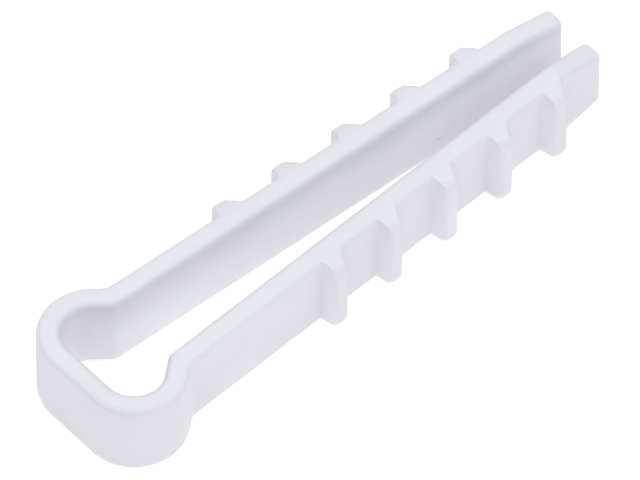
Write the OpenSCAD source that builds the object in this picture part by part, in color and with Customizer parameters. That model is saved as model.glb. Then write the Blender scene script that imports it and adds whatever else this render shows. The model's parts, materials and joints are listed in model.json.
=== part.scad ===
// One-piece plastic cable anchor: a bent band whose looped head holds a cable and whose two
// barbed legs go into a drilled hole. It lies on one edge, with the head at -X and the tips at +X.
// The band is divided where it bends. Each division is a round knuckle on one stretch that turns in
// the hollow end of the next, about the middle of the band's thickness.

/* [Band] */
// Overall length, from the outer face of the bridge to the leg tips
clip_l = 50; // [42:0.5:70]
// Thickness of the band
band_t = 1.85; // [1.2:0.05:2.3]
// Height of the band, which is the size across both legs' edges
band_h = 7; // [5:0.1:10]
// Rounding along the band's four long edges
edge_r = 0.55; // [0.2:0.05:0.55]

/* [Head] */
// Width of the looped head, across its outer faces
head_w = 13; // [12.2:0.1:18]
// Radius of the loop's corners, at the outer face
corner_r = 4.15; // [3.2:0.05:5]
// Clear gap between the legs at the throat
throat_w = 5.9; // [4:0.1:6.6]
// Angle by which the shoulders slant in towards the throat
shoulder_slant = 39; // [30:1:55]

/* [Legs] */
// Clear gap between the legs at their tips
tip_gap = 2.3; // [1:0.02:3.5]
// Length of the thinned stretch at each tip
taper_l = 4.1; // [2:0.1:4.1]
// How far the tip slopes in at its top and again at its bottom
taper_d = 0.68; // [0.2:0.02:1.2]

/* [Barbs] */
// Length of a barb along the leg
barb_l = 1.85; // [1.2:0.05:2.4]
// Distance from one barb to the next
barb_pitch = 5.7; // [4:0.1:7]
// Distance from the last right barb to the start of the thinned stretch
barb_end_gap = 0.1; // [0:0.05:2]
// How much nearer to the head the left row stands than the right row
row_step = 2.7; // [0:0.05:3]
// Height of a barb above the leg's face
barb_d = 1.35; // [0.8:0.05:1.6]
// Radius on both sides of a barb's crest, if the barb is long enough for it
crest_r = 0.6; // [0.2:0.05:0.8]
// Steepness of the side of a barb that faces the tip, in degrees from the leg
barb_ramp = 65; // [45:1:80]
// Rounding of a barb at its lower end
barb_foot_r = 0.6; // [0.3:0.05:1.2]
// Rounding of a barb at its upper end
barb_top_r = 1.3; // [0.3:0.05:1.6]

/* [Bends] */
// Clearance round each knuckle
knuckle_gap = 0.05; // [0.03:0.01:0.08]
// How far a corner turns in on the bridge as the legs close, in degrees
clamp_turn = 24; // [10:0.5:26]
// How far a shoulder turns out on its corner as the legs are spread, in degrees
spread_turn = 8; // [2:0.5:12]
// How far a leg turns back at the neck to stay in line, in degrees
neck_turn = 26.4; // [11:0.1:28]

/* [Hidden] */
// Number of barbs on each leg
BARBS = 5;
$fn = 64;

// A length longer than any cut needs to be
far = 2 * head_w;
// Extra turn allowed at each trimmed lip
lip_ease = 3;

// Middle line of the band: x from the bridge's outer face, y from the plane between the legs
half_t = band_t / 2;
bend_r = corner_r - half_t;
corner_x = corner_r;
corner_y = head_w / 2 - corner_r;
bend_end_x = corner_x + bend_r * sin(shoulder_slant);
bend_end_y = corner_y + bend_r * cos(shoulder_slant);
neck_y = throat_w / 2 + half_t;
slant_l = (bend_end_y - neck_y) / sin(shoulder_slant);
neck_x = bend_end_x + slant_l * cos(shoulder_slant);
tip_y = tip_gap / 2 + half_t;
leg_tilt = atan((neck_y - tip_y) / (clip_l - neck_x));
leg_l = (clip_l - neck_x) / cos(leg_tilt) - half_t * tan(leg_tilt);
// Runs along a leg, from the neck to the first barb
right_start = leg_l - taper_l - barb_end_gap - barb_l - (BARBS - 1) * barb_pitch;
left_start = right_start - row_step;

// Puts the part's origin under the middle of its length
module place() {
    translate([-clip_l / 2, 0, 0]) children();
}

// Mirrors a left piece to the right side
module right() {
    mirror([0, 1, 0]) children();
}

// Section of the band, centred on its thickness and standing on its lower edge
module band_section() {
    inner_t = band_t - 2 * edge_r;
    inner_h = band_h - 2 * edge_r;
    translate([-inner_t / 2, 0]) square([inner_t, band_h]);
    translate([-half_t, edge_r]) square([band_t, inner_h]);
    for (side = [-1, 1]) {
        translate([side * inner_t / 2, edge_r]) circle(edge_r);
        translate([side * inner_t / 2, band_h - edge_r]) circle(edge_r);
    }
}

// Straight band from [0, 0] along +X
module straight(length) {
    rotate([90, 0, 90]) linear_extrude(length) band_section();
}

// Bent band about [0, 0], from angle a through the angle turn
module bend(a, turn) {
    rotate([0, 0, a]) rotate_extrude(angle = turn) translate([bend_r, 0]) band_section();
}

// Round end of the band, about [0, 0]
module knuckle() {
    rotate_extrude() intersection() {
        band_section();
        square([half_t, band_h]);
    }
}

// Room for a knuckle about [0, 0] on a stretch that leads away along +X. The lip at +Y or -Y is cut
// back by the angle that it turns through.
module hollow(turn_left, turn_right) {
    translate([0, 0, -band_h]) cylinder(r = half_t + knuckle_gap, h = 3 * band_h);
    for (cut = [[1, turn_left], [-1, turn_right]]) {
        lip = 90 - cut[1] - lip_ease;
        translate([0, 0, -band_h]) linear_extrude(3 * band_h) polygon([
            [0, 0],
            far * [cos(lip), cut[0] * sin(lip)],
            far * [-cos(lip), cut[0] * sin(lip)],
        ]);
    }
}

module bridge() {
    color("white") place() {
        translate([half_t, -corner_y, 0]) rotate([0, 0, 90]) straight(2 * corner_y);
        translate([half_t, corner_y, 0]) knuckle();
        translate([half_t, -corner_y, 0]) knuckle();
    }
}

// Quarter bend from the bridge to the widest point of the loop
module left_corner() {
    color("whitesmoke") place() {
        difference() {
            translate([corner_x, corner_y, 0]) bend(90, 90);
            translate([half_t, corner_y, 0]) rotate([0, 0, 90]) hollow(0, clamp_turn);
        }
        translate([corner_x, corner_y + bend_r, 0]) knuckle();
    }
}

// Rest of the bend and the slanting stretch down to the neck
module left_shoulder() {
    color("white") place() translate([corner_x, corner_y, 0]) rotate([0, 0, -shoulder_slant]) {
        difference() {
            bend(90, shoulder_slant);
            rotate([0, 0, shoulder_slant]) translate([0, bend_r, 0]) hollow(spread_turn, 0);
        }
        translate([0, bend_r, 0]) straight(slant_l);
        translate([slant_l, bend_r, 0]) knuckle();
    }
}

// Carries its children to the neck, with +X along the left leg and +Y on its outer side
module on_leg() {
    place() translate([neck_x, neck_y, 0]) rotate([0, 0, -leg_tilt]) children();
}

module left_leg() {
    color("whitesmoke") on_leg() difference() {
        straight(leg_l - taper_l);
        hollow(shoulder_slant - leg_tilt + neck_turn, 0);
    }
}

// End of the leg, which slopes in at its top and bottom
module left_tip() {
    color("white") on_leg() intersection() {
        translate([leg_l - taper_l, 0, 0]) straight(taper_l);
        rotate([90, 0, 0]) linear_extrude(far, center = true) polygon([
            [leg_l - taper_l, 0],
            [leg_l, taper_d],
            [leg_l, band_h - taper_d],
            [leg_l - taper_l, band_h],
        ]);
    }
}

// Plan of a barb on the face y = 0: upright towards the head, a round crest, a ramp towards the tip
module barb_plan() {
    longest_r = (barb_l - barb_d / tan(barb_ramp)) / (1 + tan(barb_ramp / 2));
    r = min(crest_r, longest_r);
    crest_y = barb_d - r;
    ramp_x = barb_l - (r + crest_y * cos(barb_ramp)) / sin(barb_ramp);
    polygon([
        [0, -half_t],
        for (a = [180:-15:90]) [r, crest_y] + r * [cos(a), sin(a)],
        for (a = [90:-barb_ramp / 4:90 - barb_ramp]) [ramp_x, crest_y] + r * [cos(a), sin(a)],
        [barb_l, 0],
        [barb_l, -half_t],
    ]);
}

// Side view of a barb across the leg, with both ends of its crest rounded
module barb_side() {
    polygon([
        [-half_t, 0],
        for (a = [-90:15:0]) [barb_d - barb_foot_r, barb_foot_r] + barb_foot_r * [cos(a), sin(a)],
        for (a = [0:15:90]) [barb_d - barb_top_r, band_h - barb_top_r] + barb_top_r * [cos(a), sin(a)],
        [-half_t, band_h],
    ]);
}

// Barb number i on the outer face of the left leg. start is the run to the first one.
module barb(start, i) {
    color("whitesmoke") on_leg() difference() {
        translate([start + (i - 1) * barb_pitch, half_t, 0]) intersection() {
            linear_extrude(band_h) barb_plan();
            rotate([90, 0, 90]) linear_extrude(barb_l) barb_side();
        }
        straight(leg_l);
    }
}

bridge();
left_corner();
right() left_corner();  // right_corner
left_shoulder();
right() left_shoulder();  // right_shoulder
left_leg();
right() left_leg();  // right_leg
left_tip();
right() left_tip();  // right_tip
for (i = [1:BARBS]) {
    barb(left_start, i);
    right() barb(right_start, i);
}
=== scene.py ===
import json
import math
from collections import namedtuple

import bpy
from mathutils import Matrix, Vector


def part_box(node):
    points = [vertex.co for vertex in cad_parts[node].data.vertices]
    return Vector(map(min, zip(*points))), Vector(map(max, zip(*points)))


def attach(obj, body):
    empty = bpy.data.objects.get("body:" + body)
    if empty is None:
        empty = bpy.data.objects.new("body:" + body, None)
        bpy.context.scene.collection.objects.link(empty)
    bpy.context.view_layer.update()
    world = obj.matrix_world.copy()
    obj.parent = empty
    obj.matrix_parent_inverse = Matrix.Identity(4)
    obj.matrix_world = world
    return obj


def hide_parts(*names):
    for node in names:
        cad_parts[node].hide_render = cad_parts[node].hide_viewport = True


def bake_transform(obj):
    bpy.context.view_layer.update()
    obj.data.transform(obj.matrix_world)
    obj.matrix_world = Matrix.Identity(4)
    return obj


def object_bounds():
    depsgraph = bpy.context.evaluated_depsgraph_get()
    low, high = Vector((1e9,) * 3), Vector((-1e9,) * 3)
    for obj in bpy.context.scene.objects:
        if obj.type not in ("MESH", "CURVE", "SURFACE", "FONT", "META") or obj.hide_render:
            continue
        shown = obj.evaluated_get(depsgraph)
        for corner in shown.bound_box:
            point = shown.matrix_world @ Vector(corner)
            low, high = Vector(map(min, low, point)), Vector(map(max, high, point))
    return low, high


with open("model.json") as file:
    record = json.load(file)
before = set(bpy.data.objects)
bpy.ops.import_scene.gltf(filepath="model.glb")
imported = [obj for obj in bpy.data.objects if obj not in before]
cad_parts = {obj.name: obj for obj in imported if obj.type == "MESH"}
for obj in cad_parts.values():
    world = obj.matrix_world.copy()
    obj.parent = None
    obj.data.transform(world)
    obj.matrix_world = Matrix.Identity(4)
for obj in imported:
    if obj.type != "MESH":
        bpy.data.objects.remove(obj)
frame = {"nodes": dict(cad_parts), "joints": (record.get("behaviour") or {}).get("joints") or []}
cad_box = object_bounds()

# ---------------------------------------------------------------- light table, lamps and camera
# The anchor lies on a sheet of opal acrylic that is lit from below, so the ground is white and the
# shadows are faint. Three soft boxes stand round it, and each barb shades the leg on its head side.
MM = 0.001
low, high = cad_box


def linear(colour):
    """An sRGB hex colour as linear red, green, blue and full alpha."""
    parts = [int(colour[i : i + 2], 16) / 255 for i in (1, 3, 5)]
    return [c / 12.92 if c <= 0.04045 else ((c + 0.055) / 1.055) ** 2.4 for c in parts] + [1]


opal = bpy.data.materials.new("opal_acrylic_lit_from_below")
opal.use_nodes = True
opal_shader = opal.node_tree.nodes["Principled BSDF"]
opal_shader.inputs["Base Color"].default_value = linear("#e6e6e6")
opal_shader.inputs["Roughness"].default_value = 0.8
opal_shader.inputs["Specular IOR Level"].default_value = 0.2
opal_shader.inputs["Emission Color"].default_value = linear("#ffffff")
opal_shader.inputs["Emission Strength"].default_value = 0.39

TABLE_HALF = 2.5
table_mesh = bpy.data.meshes.new("light_table")
table_mesh.from_pydata(
    [(x * TABLE_HALF, y * TABLE_HALF, low.z) for x, y in ((-1, -1), (1, -1), (1, 1), (-1, 1))],
    [],
    [(0, 1, 2, 3)],
)
table_mesh.materials.append(opal)
table = bpy.data.objects.new("light_table", table_mesh)
bpy.context.scene.collection.objects.link(table)

room = bpy.data.worlds.new("white_room")
bpy.context.scene.world = room
room.use_nodes = True
room_light = room.node_tree.nodes["Background"]
room_light.inputs["Color"].default_value = linear("#ffffff")
room_light.inputs["Strength"].default_value = 0.12
bpy.context.scene.view_settings.view_transform = "Standard"

# The camera looks down over the head through a long lens, with the legs running away from it.
AZIMUTH, ELEVATION = math.radians(-41.65), math.radians(52.3)
FIELD_WIDTH = 47.5 * MM
SENSOR_WIDTH, LENS = 36.0, 1000.0
look_at = (low + high) / 2 + Vector((-0.91, -0.53, 0)) * MM
towards_lens = Vector(
    (
        math.sin(AZIMUTH) * math.cos(ELEVATION),
        -math.cos(AZIMUTH) * math.cos(ELEVATION),
        math.sin(ELEVATION),
    )
)


def aim(thing, towards, distance):
    """Stands a lamp or the camera off from the anchor, in one direction, and points it back."""
    thing.location = look_at + towards.normalized() * distance
    thing.rotation_mode = "QUATERNION"
    thing.rotation_quaternion = (-towards).to_track_quat("-Z", "Y")
    bpy.context.scene.collection.objects.link(thing)


camera = bpy.data.objects.new("camera", bpy.data.cameras.new("camera"))
camera.data.sensor_width = SENSOR_WIDTH
camera.data.lens = LENS
camera.data.clip_start = 0.05
camera.data.clip_end = 20
aim(camera, towards_lens, FIELD_WIDTH * LENS / SENSOR_WIDTH)
bpy.context.scene.camera = camera

SOFT_BOX_WIDTH, SOFT_BOX_DISTANCE = 450 * MM, 500 * MM
for name, watts, towards in (
    ("soft_box_by_the_tips", 1.4, (0.5, -0.5, 1)),
    ("soft_box_by_the_head", 1.05, (-0.8, -0.4, 1)),
    ("soft_box_behind", 1.15, (-0.05, 0.8, 1)),
):
    soft_box = bpy.data.lights.new(name, "AREA")
    soft_box.size = SOFT_BOX_WIDTH
    soft_box.energy = watts
    soft_box.color = linear("#f6f7ff")[:3]
    aim(bpy.data.objects.new(name, soft_box), Vector(towards), SOFT_BOX_DISTANCE)

# ---------------------------------------------------------------- bridge
# The anchor is one moulding in white polyamide: a flat band bent into a looped head and two legs.
# The bridge is the flat end of the loop. A hammer strikes it, and the cable's back rests on it.

# Moulded polyamide is a cool, slightly cloudy white. Its skin copies a spark-eroded cavity, so it
# has a fine satin grain over a faint ripple, with a rare speck of dust under the surface.
GRAIN = 0.12 * MM
RIPPLE = 2.2 * MM
CLOUD = 6 * MM
SPECK_SPACING = 1.6 * MM
SPECK_SHARE = 0.04


def add_node(material, kind, links=(), **settings):
    """Adds a node. Settings fill properties, or sockets by name; links are (output, socket)."""
    node = material.node_tree.nodes.new(kind)
    for name, value in settings.items():
        if hasattr(node, name):
            setattr(node, name, value)
        else:
            node.inputs[name.replace("_", " ")].default_value = value
    for output, socket in links:
        material.node_tree.links.new(output, node.inputs[socket])
    return node


polyamide = bpy.data.materials.new("white_polyamide_moulded")
polyamide.use_nodes = True
skin_shader = polyamide.node_tree.nodes["Principled BSDF"]
skin_shader.inputs["IOR"].default_value = 1.53
skin_shader.inputs["Specular IOR Level"].default_value = 0.35

spot = add_node(polyamide, "ShaderNodeTexCoord").outputs["Object"]
cloud = add_node(polyamide, "ShaderNodeTexNoise", [(spot, "Vector")], Scale=1 / CLOUD, Detail=3)
tint = add_node(polyamide, "ShaderNodeValToRGB", [(cloud.outputs["Fac"], "Fac")])
for stop, (place, shade) in zip(tint.color_ramp.elements, ((0.3, "#e9e9ea"), (0.7, "#eeeeef"))):
    stop.position = place
    stop.color = linear(shade)

# Each cell of the pattern holds one speck near its middle, and few of the cells are chosen.
cell = add_node(polyamide, "ShaderNodeTexVoronoi", [(spot, "Vector")], Scale=1 / SPECK_SPACING)
speck = add_node(
    polyamide,
    "ShaderNodeMapRange",
    [(cell.outputs["Distance"], "Value")],
    From_Min=0.03,
    From_Max=0.06,
    To_Min=1,
    To_Max=0,
)
lot = add_node(polyamide, "ShaderNodeSeparateColor", [(cell.outputs["Color"], "Color")])
chosen = add_node(polyamide, "ShaderNodeMath", [(lot.outputs["Red"], 0)], operation="LESS_THAN")
chosen.inputs[1].default_value = SPECK_SHARE
dust = add_node(
    polyamide,
    "ShaderNodeMath",
    [(speck.outputs["Result"], 0), (chosen.outputs["Value"], 1)],
    operation="MULTIPLY",
)
colour = add_node(
    polyamide,
    "ShaderNodeMixRGB",
    [(dust.outputs["Value"], "Fac"), (tint.outputs["Color"], "Color1")],
    Color2=linear("#9a9893"),
)
polyamide.node_tree.links.new(colour.outputs["Color"], skin_shader.inputs["Base Color"])

# The ripple also varies the satin, where the melt filled the cavity less closely.
ripple = add_node(polyamide, "ShaderNodeTexNoise", [(spot, "Vector")], Scale=1 / RIPPLE, Detail=2)
satin = add_node(
    polyamide,
    "ShaderNodeMapRange",
    [(ripple.outputs["Fac"], "Value")],
    From_Min=0.3,
    From_Max=0.7,
    To_Min=0.42,
    To_Max=0.55,
)
polyamide.node_tree.links.new(satin.outputs["Result"], skin_shader.inputs["Roughness"])
grain = add_node(polyamide, "ShaderNodeTexNoise", [(spot, "Vector")], Scale=1 / GRAIN, Detail=2)
rippled = add_node(
    polyamide,
    "ShaderNodeBump",
    [(ripple.outputs["Fac"], "Height")],
    Strength=0.25,
    Distance=0.06 * MM,
)
grained = add_node(
    polyamide,
    "ShaderNodeBump",
    [(grain.outputs["Fac"], "Height"), (rippled.outputs["Normal"], "Normal")],
    Strength=0.35,
    Distance=0.012 * MM,
)
polyamide.node_tree.links.new(grained.outputs["Normal"], skin_shader.inputs["Normal"])

# The band's skin is drawn through cuts across it. A cut has its inner and outer points, seen from
# above on the left side, then the reach of a barb, the slope off each edge and the tip's rounding.
Cut = namedtuple("Cut", "inner outer barb slope inset", defaults=(0, 0, 0))

hinge = {joint["name"]: Vector(joint["pos_m"]) for joint in frame["joints"]}
HALF_T = (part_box("bridge")[1].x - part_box("bridge")[0].x) / 2
HEIGHT = high.z - low.z
EDGE_R = 0.62 * MM
LEAST_EDGE_R = 0.05 * MM
ARC_STEPS = 8
SIDE_STEPS = 20
EDGE_STEPS = 3


def steps(start, end, longest):
    """Even steps from start to end, both included, none longer than longest."""
    count = max(1, math.ceil(abs(end - start) / longest - 1e-9))
    return [start + (end - start) * i / count for i in range(count + 1)]


def unit(angle):
    """A direction in plan, at an angle from the way that the legs point."""
    return Vector((math.cos(angle), math.sin(angle)))


def cut_across(middle, outward, **rest):
    """A cut whose middle is on the band's middle line."""
    return Cut(middle - outward * HALF_T, middle + outward * HALF_T, **rest)


def band_outline(cut):
    """Closed outline of a cut: pairs of distance from the inner face and height off the table."""
    near, far = cut.inset, (cut.outer - cut.inner).length - cut.inset
    bottom, top = cut.slope + cut.inset, HEIGHT - cut.slope - cut.inset
    r = max(EDGE_R - cut.inset, LEAST_EDGE_R)
    arcs = []
    for x, z, turn in ((far, bottom, -90), (far, top, 0), (near, top, 90), (near, bottom, 180)):
        centre = Vector((x + (r if x == near else -r), z + (r if z == bottom else -r)))
        angles = [math.radians(turn + 90 * i / ARC_STEPS) for i in range(ARC_STEPS + 1)]
        arcs.append([centre + unit(a) * r for a in angles])
    points = []
    for i, arc in enumerate(arcs):
        after = arcs[(i + 1) % 4][0]
        count = SIDE_STEPS if i % 2 == 0 else EDGE_STEPS
        shares = [(1 - math.cos(math.pi * k / count)) / 2 for k in range(1, count)]
        points += arc + [arc[-1].lerp(after, share) for share in shares]
    return points


def skin(name, cuts, side, outline=band_outline):
    """A closed length of the band's skin on the left (1) or right (-1) side."""
    points, size = [], 0
    for cut in cuts:
        across = (cut.outer - cut.inner).normalized()
        ring = outline(cut)
        size = len(ring)
        for x, z in ring:
            plan = cut.inner + across * x
            points.append((plan.x, plan.y * side, low.z + z))
    faces = [
        (a + k, a + (k + 1) % size, a + size + (k + 1) % size, a + size + k)
        for a in range(0, len(points) - size, size)
        for k in range(size)
    ]
    faces += [tuple(range(size - 1, -1, -1)), tuple(range(len(points) - size, len(points)))]
    if side > 0:
        faces = [tuple(reversed(face)) for face in faces]
    mesh = bpy.data.meshes.new(name)
    mesh.from_pydata(points, [], faces)
    mesh.shade_smooth()
    rims = set()
    for end in mesh.polygons[-2:]:
        end.use_smooth = False
        rims |= set(end.edge_keys)
    for edge in mesh.edges:
        edge.use_edge_sharp = edge.key in rims
    mesh.materials.append(polyamide)
    piece = bpy.data.objects.new(name, mesh)
    bpy.context.scene.collection.objects.link(piece)
    return piece


# The middle of the bridge stays straight. Past these cuts, on the anchor, it bends as the legs
# move.
BRIDGE_CUT = 0.9 * MM
BRIDGE_STEP = 0.25 * MM


def bridge_cuts(start, end):
    """Cuts across the bridge, from the distance start to end out of the middle plane."""
    middle = [Vector((hinge["left_clamp"].x, y)) for y in steps(start, end, BRIDGE_STEP)]
    return [cut_across(m, Vector((-1, 0))) for m in middle]


bridge = skin("bridge_band", bridge_cuts(-BRIDGE_CUT, BRIDGE_CUT), 1)
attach(bridge, "bridge")
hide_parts("bridge")

# ---------------------------------------------------------------- corners
# The loop's two corners are plain round bends in the same polyamide band, moulded to shape.
# On the anchor, closing the legs bends each of them in on the bridge.
SIDES = (("left", 1), ("right", -1))
BEND_CUT = math.radians(140)
BEND_STEP = math.radians(2)
bend_centre = Vector((hinge["left_spread"].x, hinge["left_clamp"].y))
BEND_R = hinge["left_spread"].y - bend_centre.y


def bend_cuts(start, end):
    """Cuts on the bend, from the angle start down to the angle end."""
    outward = [unit(a) for a in steps(start, end, BEND_STEP)]
    return [cut_across(bend_centre + o * BEND_R, o) for o in outward]


for name, side in SIDES:
    corner = skin(
        f"{name}_corner_band",
        bridge_cuts(BRIDGE_CUT, bend_centre.y)[:-1] + bend_cuts(math.pi, BEND_CUT),
        side,
    )
    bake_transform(corner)
    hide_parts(f"{name}_corner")

# ---------------------------------------------------------------- shoulders
# The shoulders bring the loop back in to the throat, in the same band. They open as the legs are
# On the anchor they open as the legs are pulled apart over a cable, and spring back behind it.
neck = hinge["left_neck"].xy
to_neck = neck - bend_centre
slant = math.asin(BEND_R / to_neck.length) - math.atan2(to_neck.y, to_neck.x)
SLANT_L = math.sqrt(to_neck.length_squared - BEND_R**2)
SLANT_CUT = SLANT_L * 0.2
SLANT_STEP = 0.1 * MM


def slant_cuts(start, end):
    """Cuts across the straight slant, from the run start to end past the bend."""
    outward = unit(math.pi / 2 - slant)
    first = bend_centre + outward * BEND_R
    return [cut_across(first + unit(-slant) * s, outward) for s in steps(start, end, SLANT_STEP)]


for name, side in SIDES:
    shoulder = skin(
        f"{name}_shoulder_band",
        bend_cuts(BEND_CUT, math.pi / 2 - slant)[:-1] + slant_cuts(0, SLANT_CUT),
        side,
    )
    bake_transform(shoulder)
    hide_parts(f"{name}_shoulder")

# ---------------------------------------------------------------- necks
# At the neck the band turns from the shoulder into the leg: a round corner in the throat and a
# small fillet outside. On the anchor it bends back as the legs close, so the two legs stay in line.
NECK_FILLET = 1.0 * MM
LEG_CUT = 4 * MM
ROOT_STEP = 0.3 * MM
tip_low, tip_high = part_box("left_tip")
leg_tilt = math.atan2(neck.y - HALF_T - tip_low.y, tip_high.x - neck.x)
along_leg, off_leg = unit(-leg_tilt), unit(math.pi / 2 - leg_tilt)
LEG_L = (tip_high.x - neck.x) / math.cos(leg_tilt) - HALF_T * math.tan(leg_tilt)
neck_turn = slant - leg_tilt
FILLET_RUN = (HALF_T + NECK_FILLET) * math.tan(neck_turn / 2)
fold = unit(math.pi / 2 - (slant + leg_tilt) / 2)
fillet_centre = neck + fold * (HALF_T + NECK_FILLET) / math.cos(neck_turn / 2)


def neck_cuts():
    """Cuts that fan out from the throat's corner to the fillet outside."""
    angles = steps(math.pi / 2 - slant, math.pi / 2 - leg_tilt, BEND_STEP)
    return [Cut(neck - unit(a) * HALF_T, fillet_centre - unit(a) * NECK_FILLET) for a in angles]


def leg_cut(run, **rest):
    """A cut across a leg, at a run from the neck."""
    return cut_across(neck + along_leg * run, off_leg, **rest)


for name, side in SIDES:
    root = skin(
        f"{name}_neck_band",
        slant_cuts(SLANT_CUT, SLANT_L - FILLET_RUN)[:-1]
        + neck_cuts()
        + [leg_cut(run) for run in steps(FILLET_RUN, LEG_CUT, ROOT_STEP)[1:]],
        side,
    )
    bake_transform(root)

# ---------------------------------------------------------------- legs
# The legs are the same band, drawing together, and each thins at its tip to enter a drilled hole.
# Five barbs are moulded on the outside of each, upright towards the head so they will not pull out.
BARBS = 5
END_R = 0.3 * MM
CREST_R = 0.55 * MM
BARB_FILLET = 0.35 * MM
RAMP_FILLET = 0.5 * MM
BARB_DRAFT = math.radians(5)
BARB_RAMP = math.radians(65)
BARB_FOOT_R = 0.65 * MM
BARB_CROWN = Vector((1.65, 1.45)) * MM
BARB_TOP = HEIGHT - 0.1 * MM
BARB_BLEND = 0.45 * MM
BARB_TURN = math.radians(12)
OUTER_POINTS = 2 * (ARC_STEPS + 1) + SIDE_STEPS - 1
LEG_STEP, TIP_STEP, END_TURN = 0.5 * MM, 0.25 * MM, math.radians(15)


def reach_of(node, side):
    """Start and end of a CAD barb or tip along a leg, and its reach out of the leg's face."""
    start = Vector((neck.x, neck.y * side))
    along, off = Vector((along_leg.x, along_leg.y * side)), Vector((off_leg.x, off_leg.y * side))
    points = [v.co.xy - start for v in frame["nodes"][node].data.vertices]
    runs = [p.dot(along) for p in points]
    return min(runs), max(runs), max(p.dot(off) for p in points) - HALF_T


# Blending a barb's crest into its ends takes a quarter of the blend off its reach.
BARB_D = reach_of("left_barb_1", 1)[2] + BARB_BLEND / 4


def barb_plan(length):
    """Plan of a barb as points of run and reach, from the head's side to the tip's."""

    def arc(x, y, r, start, end):
        angles = steps(math.radians(start), math.radians(end), BARB_TURN)
        return [Vector((x, y)) + unit(a) * r for a in angles]

    draft, ramp = math.degrees(BARB_DRAFT), math.degrees(BARB_RAMP)
    crest = BARB_D - CREST_R
    crest_x = crest * math.tan(BARB_DRAFT) + CREST_R
    ramp_x = length - (CREST_R + crest * math.cos(BARB_RAMP)) / math.sin(BARB_RAMP)
    foot_x = length + RAMP_FILLET * math.tan(BARB_RAMP / 2)
    return (
        arc(-BARB_FILLET, BARB_FILLET, BARB_FILLET, -90, -draft)
        + arc(crest_x, crest, CREST_R, 180 - draft, 90)
        + arc(ramp_x, crest, CREST_R, 90, 90 - ramp)
        + arc(foot_x, RAMP_FILLET, RAMP_FILLET, 270 - ramp, 270)
    )


def barb_end(z):
    """How far a barb may reach at a height, inside its small foot radius and its long crown."""
    if z < BARB_FOOT_R:
        return BARB_D - BARB_FOOT_R + math.sqrt(BARB_FOOT_R**2 - (BARB_FOOT_R - z) ** 2)
    if z > BARB_TOP:
        return -HEIGHT
    share = max(z - BARB_TOP + BARB_CROWN.y, 0) / BARB_CROWN.y
    return BARB_D - BARB_CROWN.x * (1 - math.sqrt(1 - share**2))


def soft_min(a, b, k):
    """The lesser of two reaches, blended where they are within k of each other."""
    overlap = max(k - abs(a - b), 0)
    return min(a, b) - overlap * overlap / k / 4


def leg_outline(cut):
    """A cut's outline with its barb. The band's rounded edges fill out as the barb rises."""
    width = (cut.outer - cut.inner).length
    rise = min(cut.barb / BARB_FILLET, 1)
    points = band_outline(cut)
    if cut.barb > 0:
        for point in points[:OUTER_POINTS]:
            most = width + soft_min(cut.barb, barb_end(point.y), BARB_BLEND) - point.x
            filled = -soft_min(-most, 0, BARB_BLEND)
            point.x += min(filled, cut.barb + rise * (width - point.x))
    return points


for name, side in SIDES:
    thinned = reach_of(f"{name}_tip", side)[0]
    end_face = [
        v.co.z for v in frame["nodes"][f"{name}_tip"].data.vertices if v.co.x > tip_high.x - END_R
    ]
    slope = (min(end_face) - low.z) / (LEG_L - thinned)
    cuts, done = [], LEG_CUT
    for i in range(BARBS):
        start, end, _ = reach_of(f"{name}_barb_{i + 1}", side)
        plan = [Vector((start, 0)) + point for point in barb_plan(end - start)]
        cuts += [leg_cut(run) for run in steps(done, plan[0].x, LEG_STEP)[:-1]]
        cuts += [
            leg_cut(p.x, barb=max(p.y, 0), slope=max(p.x - thinned, 0) * slope) for p in plan[:-1]
        ]
        done = plan[-1].x
    runs = [(run, 0) for run in steps(done, LEG_L - END_R, TIP_STEP)[:-1]]
    for turn in steps(0, math.pi / 2, END_TURN):
        runs.append((LEG_L - END_R + END_R * math.sin(turn), END_R * (1 - math.cos(turn))))
    cuts += [leg_cut(run, slope=max(run - thinned, 0) * slope, inset=inset) for run, inset in runs]
    leg = skin(f"{name}_leg_band", cuts, side, leg_outline)
    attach(leg, f"{name}_leg")
    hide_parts(f"{name}_leg", f"{name}_tip", *(f"{name}_barb_{i + 1}" for i in range(BARBS)))
